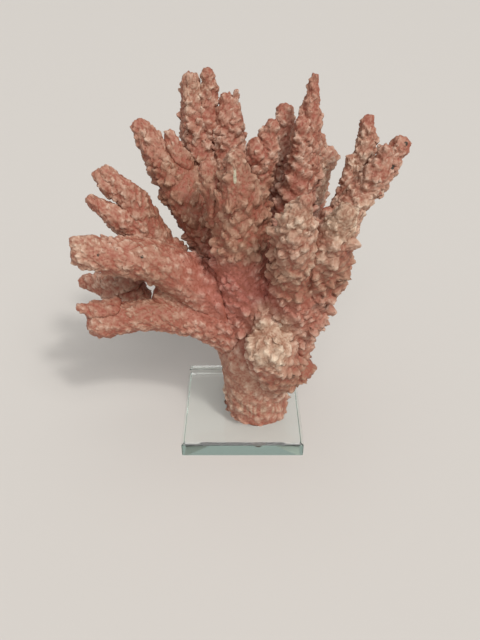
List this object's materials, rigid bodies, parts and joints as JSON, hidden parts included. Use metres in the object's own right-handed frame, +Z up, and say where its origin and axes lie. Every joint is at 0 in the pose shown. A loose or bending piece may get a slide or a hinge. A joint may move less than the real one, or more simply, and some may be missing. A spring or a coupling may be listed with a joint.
{
  "type": "coral on glass base",
  "caption": "Pink branching coral with densely nubbled limbs, standing upright, glued by its foot to a clear square glass base with bevelled edges.",
  "frame": {"origin": "centre of the square underside of the glass base, where it rests on a surface", "axes": "+Z up along the coral's height, +X to the viewer's right as in the picture, +Y away from the viewer"},
  "size_m": [0.2537, 0.1727, 0.284],
  "materials": {
    "clear_glass": "polished",
    "clear_glue": "gloss",
    "coral_pink": "matte",
    "coral_peach": "matte",
    "coral_cream_tipped": "matte"
  },
  "bodies": {
    "root": {"glass_base": "clear_glass", "glue_pad": "clear_glue", "coral_stem": "coral_pink", "coral_knob_front": "coral_cream_tipped", "coral_limb_right_main": "coral_pink", "coral_limb_centre_front": "coral_pink", "coral_limb_left_middle": "coral_peach", "coral_limb_left_low": "coral_peach", "coral_limb_left_upper": "coral_peach", "coral_limb_left_rear": "coral_pink", "coral_limb_inner_left": "coral_pink", "coral_limb_right_front": "coral_cream_tipped", "coral_limb_right_stub": "coral_cream_tipped", "coral_limb_right_outer": "coral_pink", "coral_limb_right_upper": "coral_pink", "coral_limb_centre_right": "coral_pink", "coral_limb_tall": "coral_pink", "coral_limb_back_left": "coral_pink", "coral_limb_back_centre": "coral_pink", "coral_limb_back_finger": "coral_pink", "coral_limb_back_right": "coral_pink", "coral_limb_rear_left": "coral_pink", "coral_limb_rear_centre": "coral_pink", "coral_limb_rear_right": "coral_pink", "coral_limb_rear_low": "coral_pink"}
  },
  "joints": []
}
